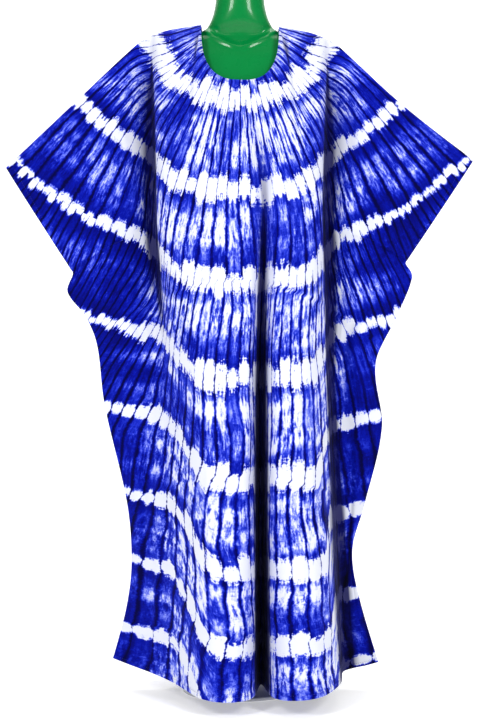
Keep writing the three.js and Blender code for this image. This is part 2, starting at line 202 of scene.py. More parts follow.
# Smaller creases laid on the main folds: place and row where each starts, place and row where it ends,
# depth in millimetres and width in folds.
# A positive depth is a trough, a negative one a ridge.
CREASES = {
    "front": [
        (5.75, 0.14, 5.60, 0.66, 5.0, 0.26),
        (6.55, 0.20, 6.35, 0.52, 2.5, 0.22),
        (8.55, 0.10, 8.10, 0.42, 3.5, 0.30),
        (9.35, 0.28, 9.60, 0.64, 4.0, 0.24),
        (10.3, 0.12, 10.1, 0.50, 2.5, 0.26),
        (7.40, 0.40, 7.05, 0.78, 3.0, 0.22),
        (10.8, 0.50, 10.6, 0.96, 4.0, 0.26),
        (5.35, 0.56, 5.55, 0.98, -4.0, 0.24),
        (2.30, 0.04, 1.50, 0.36, 4.5, 0.30),
        (3.10, 0.02, 2.30, 0.40, 5.5, 0.28),
        (13.6, 0.02, 14.6, 0.38, 5.0, 0.30),
        (12.9, 0.05, 13.6, 0.44, 4.0, 0.26),
        (1.20, 0.08, 0.60, 0.34, 3.0, 0.26),
        (14.9, 0.06, 15.4, 0.33, 3.5, 0.24),
        (0.70, 0.33, 2.20, 0.52, 5.0, 0.26),
        (15.4, 0.32, 13.9, 0.50, 5.5, 0.26),
        (1.60, 0.50, 1.20, 0.94, 3.5, 0.30),
        (14.4, 0.56, 15.0, 0.96, 4.0, 0.30),
        (2.60, 0.60, 2.20, 0.98, -3.5, 0.26),
        (6.10, 0.70, 6.20, 0.99, 3.0, 0.20),
        (11.5, 0.62, 11.4, 0.98, -3.0, 0.22),
    ],
    "back": [
        (4.60, 0.10, 4.80, 0.60, 4.0, 0.26),
        (6.20, 0.16, 6.40, 0.70, 3.5, 0.26),
        (8.40, 0.08, 8.20, 0.50, 3.0, 0.30),
        (9.80, 0.22, 9.70, 0.80, 4.0, 0.24),
        (11.6, 0.10, 11.4, 0.56, 3.5, 0.26),
        (2.40, 0.03, 1.60, 0.38, 5.0, 0.30),
        (13.5, 0.02, 14.5, 0.40, 5.0, 0.30),
        (0.80, 0.32, 2.30, 0.54, 5.0, 0.28),
        (15.3, 0.31, 13.8, 0.52, 5.0, 0.28),
        (1.70, 0.52, 1.30, 0.96, 3.5, 0.30),
        (14.5, 0.55, 14.9, 0.95, 3.5, 0.30),
        (5.60, 0.62, 5.50, 0.98, -3.0, 0.22),
        (10.6, 0.60, 10.7, 0.98, -3.0, 0.24),
    ],
}
SMALL_CREASES = 90  # soft crumples scattered on each panel
SMALL_CREASE_DEPTH = 1.1 * MM

COLUMNS_PER_FOLD = 12
ROWS_ABOVE, ROWS_BELOW = 62, 140


def clamp01(value):
    return np.clip(value, 0.0, 1.0)


def mix(a, b, t):
    return a + (b - a) * t


def smoothstep(low, high, value):
    t = clamp01((value - low) / (high - low))
    return t * t * (3 - 2 * t)


def along(keys, values, key):
    """A smooth curve through values at keys, read at key. A value may itself be an array of key's shape."""
    last = len(keys) - 1
    key = np.clip(key, keys[0], keys[last])
    values = [np.broadcast_to(value, key.shape) for value in values]

    def slope(k):
        before, after = max(k - 1, 0), min(k + 1, last)
        return (values[after] - values[before]) / (keys[after] - keys[before])

    result = values[last].copy()
    for i in range(last):
        span = keys[i + 1] - keys[i]
        t = (key - keys[i]) / span
        start = 2 * t**3 - 3 * t**2 + 1
        curve = start * values[i] + (1 - start) * values[i + 1]
        curve = curve + span * slope(i) * (t**3 - 2 * t**2 + t) + span * slope(i + 1) * (t**3 - t**2)
        result = np.where((key >= keys[i]) & (key < keys[i + 1]), curve, result)
    return result


def panel(name, folds, facing, neck_drop, neck_depth, chest_height):
    columns = dict(zip(FOLD_COLUMNS, folds.T))
    return {
        "name": name, "folds": columns, "facing": facing, "neck_drop": neck_drop * MM,
        "neck_depth": neck_depth * MM, "chest_height": chest_height * MM,
    }


FRONT = panel("front", FRONT_FOLDS, -1, 129, 92, 1019)
BACK = panel("back", BACK_FOLDS, 1, 20, 50, 1060)


def across(cloth, column, place):
    return along(np.arange(LAST_FOLD + 1.0), list(cloth["folds"][column]), place)


def side_of(place, left, right):
    return np.where(place < LAST_FOLD / 2, left, right)


def edge_at(row, column, place):
    """The side edge's x (column 0) or z (column 1) on the side that a place is on."""
    left = along(SIDE_EDGE[:, 0], list(SIDE_EDGE[:, 1 + column]), row)
    right = along(SIDE_EDGE[:, 0], list(SIDE_EDGE[:, 3 + column]), row)
    return side_of(place, left, right)


def top_line(cloth, place):
    """The shoulder fold, with the neckline in its middle."""
    low, high = NECK_CORNERS
    x = across(cloth, "top_x", place)
    out = np.abs(x)
    left = along(SHOULDER[:, 0], list(SHOULDER[:, 1]), out)
    right = along(SHOULDER[:, 0], list(SHOULDER[:, 2]), out)
    z = np.where(x < 0, left, right)
    turn = (place - (low + high) / 2) / (high - low) * math.pi
    in_neck = (place > low) & (place < high)
    drop = np.where(in_neck, np.abs(np.cos(turn)) ** NECK_SQUARENESS, 0)
    neck_x = NECK_HALF_WIDTH * np.sign(turn) * np.abs(np.sin(turn)) ** NECK_SQUARENESS
    lower = RIGHT_CORNER_LOWER * clamp01((neck_x + NECK_HALF_WIDTH) / (2 * NECK_HALF_WIDTH))
    neck_z = NECK_CORNER_HEIGHT - lower - cloth["neck_drop"] * drop
    return np.where(in_neck, neck_x, x), cloth["neck_depth"] * np.sqrt(drop), np.where(in_neck, neck_z, z)


def from_side(place):
    """How many folds a place is from the nearer side edge."""
    return np.minimum(place, LAST_FOLD - place)


def near_seam(place):
    return clamp01(1 - from_side(place) / SEAM_REACH) ** 2


def lower_part(cloth, place, row):
    """The panel from its chest row down to its hem."""
    rows = (CHEST_ROW, HIP_ROW, 1.0)
    x_names = ("chest_x", "hip_x", "hem_x")
    x_levels = [across(cloth, name, place) for name in x_names]
    depth_levels = [across(cloth, name, place) for name in ("chest", "hip", "hem")]
    edge_x, edge_z = edge_at(row, 0, place), edge_at(row, 1, place)
    seams = [cloth["folds"][name] for name in x_names]
    seam_levels = [side_of(place, seam[0], seam[-1]) for seam in seams]
    x = along(rows, x_levels, row) + (edge_x - along(rows, seam_levels, row)) * near_seam(place)
    middle = mix(cloth["chest_height"], HEM_HEIGHT, (row - CHEST_ROW) / (1 - CHEST_ROW))
    droop = np.minimum(1, np.abs(x / edge_x)) ** mix(1.5, 2.0, row)
    return x, along(rows, depth_levels, row), mix(middle, edge_z, droop)


def panel_points(cloth, place, row):
    """Points of the panel's middle surface, at places counted in folds and rows from 0 to 1."""
    low_x, low_depth, low_z = lower_part(cloth, place, np.maximum(row, CHEST_ROW))
    top_x, top_depth, top_z = top_line(cloth, place)
    fallen = clamp01(row / CHEST_ROW) ** FALL_POWER
    eased = 1 - (1 - fallen) ** 2
    x = mix(top_x, low_x, mix(fallen, eased, 0.6))
    depth = mix(top_depth, low_depth, np.sqrt(eased))
    z = mix(top_z, low_z, fallen)
    chest_row = np.full_like(row, CHEST_ROW)
    cuff = np.where(row < CHEST_ROW, near_seam(place), 0)
    x = mix(x, mix(top_x, edge_at(chest_row, 0, place), fallen), cuff)
    z = mix(z, mix(top_z, edge_at(chest_row, 1, place), fallen), cuff)
    gape = np.sin(math.pi * np.minimum(row, CHEST_ROW) / CHEST_ROW)
    lens = CUFF_OPENING * gape * clamp01(1 - from_side(place) / GAPE_REACH)
    depth = depth + lens + WALL / 2 + HALF_GAP
    return np.stack([x, cloth["facing"] * depth, z], axis=-1)


def grid_normals(points, facing):
    """Normals of a grid of points [column, row], on the side that the panel faces."""
    across_cloth = np.gradient(points, axis=0)
    down_cloth = np.gradient(points, axis=1)
    normals = np.cross(down_cloth, across_cloth) * -facing
    return normals / np.maximum(np.linalg.norm(normals, axis=-1, keepdims=True), 1e-9)


def crease_relief(cloth, place, row):
    """How far the small creases move the cloth out, in metres."""
    relief = np.zeros_like(place)
    listed = [(*crease[:4], crease[4] * MM, crease[5]) for crease in CREASES[cloth["name"]]]
    rng = np.random.default_rng(11 if cloth["name"] == "front" else 12)
    for _ in range(SMALL_CREASES):
        start = rng.uniform(0.6, LAST_FOLD - 0.6)
        first = rng.uniform(0.03, 0.85)
        length = rng.uniform(0.05, 0.22)
        lean = rng.uniform(-0.5, 0.5)
        depth = SMALL_CREASE_DEPTH * rng.uniform(0.3, 1.0) * rng.choice([-1, 1])
        listed.append((start, first, start + lean, min(first + length, 1.0), depth, rng.uniform(0.08, 0.2)))
    for place_a, row_a, place_b, row_b, depth, width in listed:
        t = (row - row_a) / (row_b - row_a)
        strength = np.where((t > 0) & (t < 1), np.sin(math.pi * clamp01(t)) ** 0.8, 0)
        away = (place - mix(place_a, place_b, t)) / width
        relief -= depth * strength * (1 - 0.6 * away**2) * np.exp(-(away**2))
    held = smoothstep(0, 0.8, from_side(place)) * smoothstep(0, 0.05, row)
    return relief * held


# ---------------------------------------------------------------- the dye's own coordinates on the cloth

# Distance from the neck's middle along the cloth of each tied ring, first to last.
RING_RADII = np.array([0, 190, 376, 558, 752, 956, 1137, 1280, 1430, 1580]) * MM
NECK_MIDDLE_HEIGHT = 1411 * MM
WING_MIDDLE_OUT, WING_MIDDLE_HEIGHT = 60 * MM, 1490 * MM
WING_TURN = math.radians(18)
PLEATS = 216  # pleats tied all round the outer rings; the inner rings have a half and a quarter as many

# Where the cloth turns from the middle's rings to the wings' at each height: how far out it starts and ends.
TURNS = np.array([  # height, left start, left end, right start, right end
    (0.00, 45, 140, 188, 206),
    (0.25, 38, 148, 172, 192),
    (0.45, 55, 150, 152, 180),
    (0.62, 72, 168, 148, 200),
    (0.78, 92, 190, 142, 210),
    (0.95, 120, 215, 136, 222),
    (1.20, 140, 240, 140, 240),
    (1.40, 140, 250, 140, 250),
]) * (1, MM, MM, MM, MM)
# How much nearer together the wings' rings lie at each height, as a share.
WING_STRETCH = np.array([  # height, left, right
    (0.00, 0.050, 0.000),
    (0.20, 0.045, -0.015),
    (0.40, 0.045, 0.012),
    (0.60, 0.040, 0.012),
    (0.80, 0.0, 0.0),
    (1.40, 0.0, 0.0),
])
LEAN_HEIGHT = 0.85  # below this, the pleats at the sides slant
LEFT_LEAN, RIGHT_LEAN = 0.10, -0.05


def dye_coordinates(points, place, row):
    """For each point: its place round the neck counted in pleats, its place among the rings, its distance
    from the nearer side edge in folds, and its distance across the cloth from the middle in metres."""
    x, z = points[..., 0], points[..., 2]
    out, below = np.abs(x), NECK_MIDDLE_HEIGHT - z
    turn_start, turn_end = (
        np.where(x < 0, np.interp(z, TURNS[:, 0], TURNS[:, k]), np.interp(z, TURNS[:, 0], TURNS[:, k + 2]))
        for k in (1, 2)
    )
    in_wing = smoothstep(turn_start, turn_end, out)
    left_stretch, right_stretch = (np.interp(z, WING_STRETCH[:, 0], WING_STRETCH[:, k]) for k in (1, 2))
    stretch = 1 + np.where(x < 0, left_stretch, right_stretch)
    wing_out, wing_below = out - WING_MIDDLE_OUT, (WING_MIDDLE_HEIGHT - z) * stretch
    radius = mix(np.hypot(x, below), np.hypot(wing_out, wing_below), in_wing)

    steps = np.linalg.norm(np.diff(points, axis=0), axis=-1)
    reach = np.concatenate([np.zeros((1, points.shape[1])), np.cumsum(steps, axis=0)])
    middle = reach[np.argmin(np.abs(x), axis=0), np.arange(points.shape[1])]
    across_cloth = reach - middle
    upper = mix(np.arctan2(x, below), np.sign(x) * (np.arctan2(wing_out, wing_below) + WING_TURN), in_wing)
    left_lean = LEFT_LEAN * smoothstep(60 * MM, 290 * MM, out)
    right_lean = RIGHT_LEAN * smoothstep(140 * MM, 300 * MM, out)
    lean = np.where(x < 0, left_lean, right_lean) * np.maximum(LEAN_HEIGHT - z, 0)
    lower = np.arcsin(np.clip((across_cloth + lean) / np.maximum(radius, 0.05), -0.98, 0.98))
    turn = mix(upper, lower, smoothstep(0.24, 0.5, row))
    ring = np.interp(radius, RING_RADII, np.arange(len(RING_RADII)))
    return turn / (2 * math.pi) * PLEATS, ring, from_side(place), across_cloth


def painted_hollow_shade(cloth, points):
    """How much painted shade each point gets: from 0 on ridges and open cloth to 1 in narrow troughs and at the
    foot of steep folds, where the cloth's colour is darkened as painted shade."""
    depth = points[..., 1] * cloth["facing"]
    x = points[..., 0]
    reaches = (6, 12, 20, 30)  # columns of the mesh
    last = depth.shape[0] - 1
    hidden = np.zeros_like(depth)
    for reach in reaches:
        rises = []
        for side in (-1, 1):
            column = np.clip(np.arange(last + 1) + side * reach, 0, last)
            run = np.maximum(np.abs(x[column] - x), 4 * MM)
            rises.append(np.maximum((depth[column] - depth) / run, 0))
        both = np.sqrt(rises[0] * rises[1])
        hidden = hidden + both / (1 + both) + 1.3 * smoothstep(1.9, 4.0, np.maximum(*rises))
    return smoothstep(0.05, 0.40, hidden / len(reaches))


# ---------------------------------------------------------------- mesh builders


def link(name, mesh):
    obj = bpy.data.objects.new(name, mesh)
    bpy.context.collection.objects.link(obj)
    return obj


def set_uv(mesh, name, values):
    """values holds one (u, v) for each vertex."""
    layer = mesh.uv_layers.new(name=name)
    corner = np.empty(len(mesh.loops), dtype=np.int32)
    mesh.loops.foreach_get("vertex_index", corner)
    layer.data.foreach_set("uv", values[corner].astype(np.float32).ravel())


def sheet_mesh(name, outer, inner, facing, maps):
    """A closed thin wall between two grids of points [column, row], with the named maps on it."""
    columns, rows = outer.shape[:2]
    numbers = np.arange(columns * rows).reshape(columns, rows)
    out, back = numbers, numbers + columns * rows
    quads = []

    def add(a, b, c, d):
        quads.append(np.stack([a.ravel(), b.ravel(), c.ravel(), d.ravel()], axis=-1))

    add(out[:-1, :-1], out[:-1, 1:], out[1:, 1:], out[1:, :-1])
    add(back[:-1, :-1], back[1:, :-1], back[1:, 1:], back[:-1, 1:])
    add(out[:-1, 0], out[1:, 0], back[1:, 0], back[:-1, 0])
    add(out[1:, -1], out[:-1, -1], back[:-1, -1], back[1:, -1])
    add(out[0, 1:], out[0, :-1], back[0, :-1], back[0, 1:])
    add(out[-1, :-1], out[-1, 1:], back[-1, 1:], back[-1, :-1])
    faces = np.concatenate(quads)
    if facing > 0:
        faces = faces[:, ::-1]
    points = np.concatenate([outer.reshape(-1, 3), inner.reshape(-1, 3)])
    mesh = bpy.data.meshes.new(name)
    mesh.from_pydata(points.tolist(), [], faces.tolist())
    for map_name, (u, v) in maps.items():
        one_side = np.stack([u.ravel(), v.ravel()], axis=-1)
        set_uv(mesh, map_name, np.concatenate([one_side, one_side]))
    mesh.polygons.foreach_set("use_smooth", [True] * len(mesh.polygons))
    mesh.set_sharp_from_angle(angle=math.radians(55))
    mesh.update()
    return mesh


def cloth_grid(cloth, places, rows):
    """Points, normals and maps of part of a panel."""
    place, row = np.meshgrid(places, rows, indexing="ij")
    points = panel_points(cloth, place, row)
    normals = grid_normals(points, cloth["facing"])
    relief = crease_relief(cloth, place, row)
    pleat, ring, edge, across_cloth = dye_coordinates(points, place, row)
    moved = points + normals * relief[..., None]
    maps = {
        "dye": (pleat, ring),
        "cloth": (across_cloth, NECK_CORNER_HEIGHT - points[..., 2]),
        # The map's second number is how much painted shade darkens the cloth in its hollows.
        "edge_and_painted_shade": (edge, painted_hollow_shade(cloth, moved) * smoothstep(0.02, 0.10, row)),
    }
    return moved, grid_normals(moved, cloth["facing"]), maps


def keep_on_side(points, facing):
    """Keeps a panel's points in front of or behind the plane between front and back."""
    points[..., 1] = facing * np.maximum(points[..., 1] * facing, HALF_GAP)
    return points


def even(first, last, count):
    return np.linspace(first, last, count + 1)


UPPER_ROWS = even(0, CHEST_ROW, ROWS_ABOVE)
ROWS = np.concatenate([UPPER_ROWS, even(CHEST_ROW, 1, ROWS_BELOW)[1:]])
PLACES = even(0, LAST_FOLD, LAST_FOLD * COLUMNS_PER_FOLD)


def make_panel(cloth):
    points, normals, maps = cloth_grid(cloth, PLACES, ROWS)
    outer = keep_on_side(points + normals * WALL / 2, cloth["facing"])
    inner = keep_on_side(points - normals * WALL / 2, cloth["facing"])
    name = f"robe_{cloth['name']}"
    obj = link(name, sheet_mesh(name, outer, inner, cloth["facing"], maps))
    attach(obj, "root")
    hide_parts(f"{cloth['name']}_panel")
    return obj


def from_rim(count):
    """How many points each of a row of points is from the nearer end."""
    return np.minimum(np.arange(count), np.arange(count)[::-1])


def make_band(cloth, name, places, rows, node, thickness=HEM_THICKNESS):
    """A hem or binding laid on the panel's outer face, thinner at its rims so that they look turned under."""
    points, normals, maps = cloth_grid(cloth, places, rows)
    columns, lines = points.shape[:2]
    narrow = from_rim(columns)[:, None] if columns < lines else from_rim(lines)[None, :]
    swell = np.where(narrow > 0, 1.0, RIM_SWELL)[..., None]
    lift = WALL / 2 + BAND_GAP
    outer = keep_on_side(points + normals * (lift + thickness * swell), cloth["facing"])
    inner = keep_on_side(points + normals * lift, cloth["facing"])
    obj = link(name, sheet_mesh(name, outer, inner, cloth["facing"], maps))
    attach(obj, "root")
    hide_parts(node)
    return obj, outer + normals * THREAD_LIFT, normals


def make_stitches(name, lines):
    """Short raised thread stitches along lines of points with normals, as one joined mesh."""
    pitch, length, half_width, height = 4.6 * MM, 3.1 * MM, 0.42 * MM, 0.42 * MM
    points, faces = [], []
    for path, normal in lines:
        steps = np.linalg.norm(np.diff(path, axis=0), axis=-1)
        reach = np.concatenate([[0], np.cumsum(steps)])
        for centre in np.arange(pitch, reach[-1] - pitch, pitch):
            ends = [
                np.array([np.interp(centre + side * length / 2, reach, path[:, k]) for k in range(3)])
                for side in (-1, 1)
            ]
            up = np.array([np.interp(centre, reach, normal[:, k]) for k in range(3)])
            run = ends[1] - ends[0]
            wide = np.cross(run, up)
            wide = wide / max(np.linalg.norm(wide), 1e-9) * half_width
            middle = (ends[0] + ends[1]) / 2
            first = len(points)
            points += [ends[0], ends[1], middle + wide, middle - wide]
            points += [middle + up * height, middle - up * height * 0.6]
            ring = (first + 4, first + 2, first + 5, first + 3)
            for i in range(4):
                faces.append((first, ring[i], ring[(i + 1) % 4]))
                faces.append((first + 1, ring[(i + 1) % 4], ring[i]))
    mesh = bpy.data.meshes.new(name)
    mesh.from_pydata([tuple(point) for point in points], [], faces)
    mesh.polygons.foreach_set("use_smooth", [True] * len(mesh.polygons))
    obj = link(name, mesh)
    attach(obj, "root")
    return obj


def oval_loft(name, sections, sides, relief=None):
    """A closed solid through oval sections (height, half-width, front, back), smoothed between them. relief
    gives how far the front stands out at each x and z."""
    sections = np.array(sections) * MM
    keys = np.arange(len(sections), dtype=float)
    fine = even(0, len(sections) - 1, (len(sections) - 1) * LEVELS_PER_SECTION)
    height, width, front, back = (along(keys, list(sections[:, k]), fine) for k in range(4))
    turn = np.linspace(0, 2 * math.pi, sides, endpoint=False)
    depth = np.where(np.sin(turn)[None, :] < 0, front[:, None], back[:, None])
    x = width[:, None] * np.cos(turn)[None, :]
    y = depth * np.sin(turn)[None, :]
    z = np.repeat(height[:, None], sides, axis=1)
    if relief:
        y = y - relief(x, z) * (np.sin(turn)[None, :] < 0)
    points = np.stack([x, y, z], axis=-1).reshape(-1, 3).tolist()
    faces = []
    for level in range(len(fine) - 1):
        for i in range(sides):
            a, b = level * sides + i, level * sides + (i + 1) % sides
            faces.append((a, b, b + sides, a + sides))
    faces.append(tuple(range(sides))[::-1])
    last = (len(fine) - 1) * sides
    faces.append(tuple(last + i for i in range(sides)))
    mesh = bpy.data.meshes.new(name)
    mesh.from_pydata(points, [], faces)
    mesh.polygons.foreach_set("use_smooth", [True] * len(mesh.polygons))
    mesh.set_sharp_from_angle(angle=math.radians(50))
    return link(name, mesh)


def turned(name, profile, sides=96):
    """A lathe-turned solid: profile is a list of (radius, height) from the bottom's middle to the top's."""
    points, faces, rings = [], [], []
    for radius, height in profile:
        if radius == 0:
            rings.append([len(points)])
            points.append((0, 0, height))
            continue
        rings.append([len(points) + i for i in range(sides)])
        for i in range(sides):
            angle = 2 * math.pi * i / sides
            points.append((radius * math.cos(angle), radius * math.sin(angle), height))
    for low, high in zip(rings, rings[1:]):
        for i in range(sides):
            a, b = low[i % len(low)], low[(i + 1) % len(low)]
            c, d = high[(i + 1) % len(high)], high[i % len(high)]
            face = tuple(dict.fromkeys((a, b, c, d)))
            faces.append(face)
    mesh = bpy.data.meshes.new(name)
    mesh.from_pydata(points, [], faces)
    mesh.polygons.foreach_set("use_smooth", [True] * len(mesh.polygons))
    mesh.set_sharp_from_angle(angle=math.radians(40))
    return link(name, mesh)


# ---------------------------------------------------------------- materials


class Term:
    """A number in a material's node tree, so that its formulas can be written as formulas."""

    def __init__(self, tree, socket):
        self.tree, self.socket = tree, socket

    def math(self, operation, *others, clamp=False):
        node = self.tree.nodes.new("ShaderNodeMath")
        node.operation = operation
        node.use_clamp = clamp
        for index, value in enumerate((self, *others)):
            if isinstance(value, Term):
                self.tree.links.new(value.socket, node.inputs[index])
            else:
                node.inputs[index].default_value = value
        return Term(self.tree, node.outputs[0])

    def __add__(self, other):
        return self.math("ADD", other)

    def __sub__(self, other):
        return self.math("SUBTRACT", other)

    def __mul__(self, other):
        return self.math("MULTIPLY", other)

    def rest(self):
        """1 minus this."""
        return (self * -1) + 1

    def step(self, low, high):
        """0 below low, 1 above high and smooth between. low and high may be Terms, in either order."""
        node = self.tree.nodes.new("ShaderNodeMapRange")
        node.interpolation_type = "SMOOTHSTEP"
        for socket, value in ((node.inputs[1], low), (node.inputs[2], high)):
            if isinstance(value, Term):
                self.tree.links.new(value.socket, socket)
            else:
                socket.default_value = value
        self.tree.links.new(self.socket, node.inputs[0])
        return Term(self.tree, node.outputs[0])


class Paint:
    """Builds one material."""

    def __init__(self, name):
        self.material = bpy.data.materials.new(name)
        self.material.use_nodes = True
        self.tree = self.material.node_tree
        self.shader = self.tree.nodes["Principled BSDF"]

    def set(self, **sockets):
        for name, value in sockets.items():
            self.shader.inputs[name.replace("_", " ")].default_value = value

    def uv(self, name):
        node = self.tree.nodes.new("ShaderNodeUVMap")
        node.uv_map = name
        split = self.tree.nodes.new("ShaderNodeSeparateXYZ")
        self.tree.links.new(node.outputs[0], split.inputs[0])
        return Term(self.tree, split.outputs[0]), Term(self.tree, split.outputs[1])

    def vector(self, *parts):
        node = self.tree.nodes.new("ShaderNodeCombineXYZ")
        for index, value in enumerate(parts):
            if isinstance(value, Term):
                self.tree.links.new(value.socket, node.inputs[index])
            else:
                node.inputs[index].default_value = value
        return node.outputs[0]

    def object_place(self):
        return self.tree.nodes.new("ShaderNodeTexCoord").outputs["Object"]

    def noise(self, vector, scale=1.0, detail=2.0, roughness=0.5):
        node = self.tree.nodes.new("ShaderNodeTexNoise")
        node.inputs["Scale"].default_value = scale
        node.inputs["Detail"].default_value = detail
        node.inputs["Roughness"].default_value = roughness
        self.tree.links.new(vector, node.inputs["Vector"])
        return Term(self.tree, node.outputs["Fac"])

    def dice(self, *parts):
        """One random number from 0 to 1 for each whole-number place."""
        node = self.tree.nodes.new("ShaderNodeTexWhiteNoise")
        node.noise_dimensions = "3D"
        self.tree.links.new(self.vector(*parts), node.inputs["Vector"])
        return Term(self.tree, node.outputs["Value"])

    def ramp(self, value, stops):
        node = self.tree.nodes.new("ShaderNodeValToRGB")
        elements = node.color_ramp.elements
        while len(elements) < len(stops):
            elements.new(0.5)
        for element, (place, colour) in zip(elements, stops):
            element.position = place
            element.color = (*colour, 1)
        self.tree.links.new(value.socket, node.inputs[0])
        return node.outputs[0]

    def shaded(self, colour, amount, tint):
        """Painted shade: the colour multiplied by a tint, as far as amount says."""
        node = self.tree.nodes.new("ShaderNodeMix")
        node.data_type = "RGBA"
        node.blend_type = "MULTIPLY"
        self.tree.links.new(amount.socket, node.inputs[0])
        self.tree.links.new(colour, node.inputs[6])
        node.inputs[7].default_value = (*tint, 1)
        return node.outputs[2]

    def colour(self, socket):
        self.tree.links.new(socket, self.shader.inputs["Base Color"])

    def roughness(self, term):
        self.tree.links.new(term.socket, self.shader.inputs["Roughness"])

    def bump(self, height, strength, distance):
        node = self.tree.nodes.new("ShaderNodeBump")
        node.inputs["Strength"].default_value = strength
        node.inputs["Distance"].default_value = distance
        self.tree.links.new(height.socket, node.inputs["Height"])
        self.tree.links.new(node.outputs[0], self.shader.inputs["Normal"])


DYE_STOPS = [
    (0.00, (0.80, 0.82, 0.92)),
    (0.16, (0.60, 0.64, 0.95)),
    (0.34, (0.15, 0.20, 0.86)),
    (0.50, (0.016, 0.036, 0.62)),
    (0.66, (0.001, 0.006, 0.34)),
    (0.82, (0.0004, 0.0015, 0.16)),
    (1.00, (0.0002, 0.0004, 0.05)),
]
# Painted shade: in full hollows the cloth's colour is multiplied by this, because the lights alone leave them
# too light.
HOLLOW_SHADE_TINT = (0.04, 0.04, 0.13)
SIDE_REACH = 4.2   # folds in from a side edge where the dye is darker and the ties narrower
WEAVE_TURN = 6283.0  # radians a metre: one turn of the weave each millimetre


def dyed_cloth(name, seed):
    """Cotton pleated from the neck outward, tied in rings and dyed: the ties stay white, thin dark lines
    mark the pleats' edges, and the dye has run in from both sides of each pleat, so most of its marks are
    mirrored."""
    paint = Paint(name)
    pleat, ring = paint.uv("dye")
    # hollow: how much painted shade darkens the dyed colour in the cloth's hollows.
    edge, hollow = paint.uv("edge_and_painted_shade")
    across_cloth, down_cloth = paint.uv("cloth")

    # Each pleat splits in two on its way out, under the first tie and again under the third.
    drift = paint.noise(paint.vector(pleat * 0.09, ring * 0.8, seed), detail=2.0) - 0.5
    pleat = pleat + drift * 2.0
    halves = ring.math("GREATER_THAN", 1.0) * 0.25 + 0.25
    halves = halves + ring.math("GREATER_THAN", 3.0) * 0.5
    folded = pleat * halves
    whole = folded.math("FLOOR")
    part = folded - whole
    from_middle = (part - 0.5).math("ABSOLUTE") * 2
    luck_a = paint.dice(whole, seed, 1.0)
    luck_b = paint.dice(whole, seed, 2.0)
    ring_number = (ring + 0.5).math("FLOOR")
    luck_c = paint.dice(whole, ring_number, seed + 3.0)
    luck_d = paint.noise(paint.vector(whole * 3.7, ring * 0.8, seed + 8.0), detail=1.0)

    # Streaks, long down the pleats and fine across them, and ripples where the dye stopped at a crumple.
    streak = paint.noise(
        paint.vector(from_middle * 1.3 + whole * 7.31, ring * 3.4, seed), detail=6.0, roughness=0.68)
    fine = paint.noise(paint.vector(pleat * 2.6, ring * 7.5, seed + 4.0), detail=5.0, roughness=0.65)
    ripple = paint.noise(
        paint.vector(from_middle * 0.9 + whole * 5.7, ring * 24.0, seed + 7.0), detail=4.0, roughness=0.65)
    speck = paint.noise(paint.vector(pleat * 4.5, ring * 30.0, seed + 5.0), detail=4.0, roughness=0.65)
    patch = paint.noise(paint.vector(pleat * 0.085, ring * 1.7, seed + 6.0), detail=2.0, roughness=0.55)
    barbed = from_middle + (ripple - 0.5) * 0.75

    # The white rings, broken into blobs at the pleats' edges.
    near_side = edge.step(0.0, SIDE_REACH)
    ragged = (streak - 0.5) * 0.42 + (ripple - 0.5) * 0.20 + (speck - 0.5) * 0.16
    shifted = ring + (luck_a - 0.5) * 0.06 + (luck_c - 0.5) * 0.05 + drift * 0.05
    from_ring = ((shifted + 0.5) - (shifted + 0.5).math("FLOOR") - 0.5).math("ABSOLUTE")
    bead = (from_middle * from_middle * from_middle) * (near_side * -0.35 + 0.66)
    width = (luck_b * 0.07 + 0.080) * (near_side * 0.55 + 0.45) * bead.rest()
    width = width + ragged * (near_side * 0.6 + 0.4)
    tie = from_ring.step(width + 0.04, width - 0.012)

    # The dye between the rings: darkest beside a tie, and lighter half way to the next.
    half_way = from_ring.step(0.12, 0.32)
    open_pleat = barbed.step(1.0, 0.45)
    pale_patch = patch.step(0.36, 0.58) * luck_d.step(0.28, 0.50)
    light = streak.step(0.34, 0.60) * (open_pleat * 0.7 + 0.3) * (half_way * 0.6 + 0.4)
    light = light * (pale_patch * 0.66 + 0.34) * (near_side * 0.6 + 0.4)
    thin_light = fine.step(0.44, 0.62) * (half_way * 0.6 + 0.4) * (pale_patch * 0.6 + 0.4)
    lace = ripple.step(0.5, 0.7) * speck.step(0.4, 0.6) * half_way
    net = (fine.step(0.52, 0.40) * 0.6 + ripple.step(0.46, 0.36) * 0.4) * light
    pleat_edge = barbed.step(0.62, 0.96) * luck_d.step(0.22, 0.55)
    dye = (patch - 0.5) * -0.30 + 0.70
    dye = dye - light * 0.84 - thin_light * 0.30 * (near_side * 0.6 + 0.4) - lace * 0.24 + net * 0.34
    dye = dye + pleat_edge * 0.34 + near_side.rest() * 0.12 + (speck - 0.5) * 0.30
    thin_line = barbed.step(0.88, 1.0) * luck_d.step(0.33, 0.5)
    white = tie * (thin_line * 0.9).rest()
    dye = dye.math("MULTIPLY", white.rest(), clamp=True)
    # Painted shade: the dyed colour is multiplied toward a dark blue tint in the cloth's hollows.
    paint.colour(paint.shaded(paint.ramp(dye, DYE_STOPS), hollow, HOLLOW_SHADE_TINT))

    weave = (across_cloth * WEAVE_TURN).math("SINE") * (down_cloth * WEAVE_TURN).math("SINE")
    crumple = paint.noise(
        paint.vector(across_cloth * 60.0, down_cloth * 22.0, seed), detail=4.0, roughness=0.6)
    paint.bump(weave * 0.12 + crumple * 0.9 + from_middle * 0.25, 0.35, 1.2 * MM)
    paint.set(Roughness=0.85, Sheen_Weight=0.02, Sheen_Roughness=0.4, Specular_IOR_Level=0.06)
    return paint.material


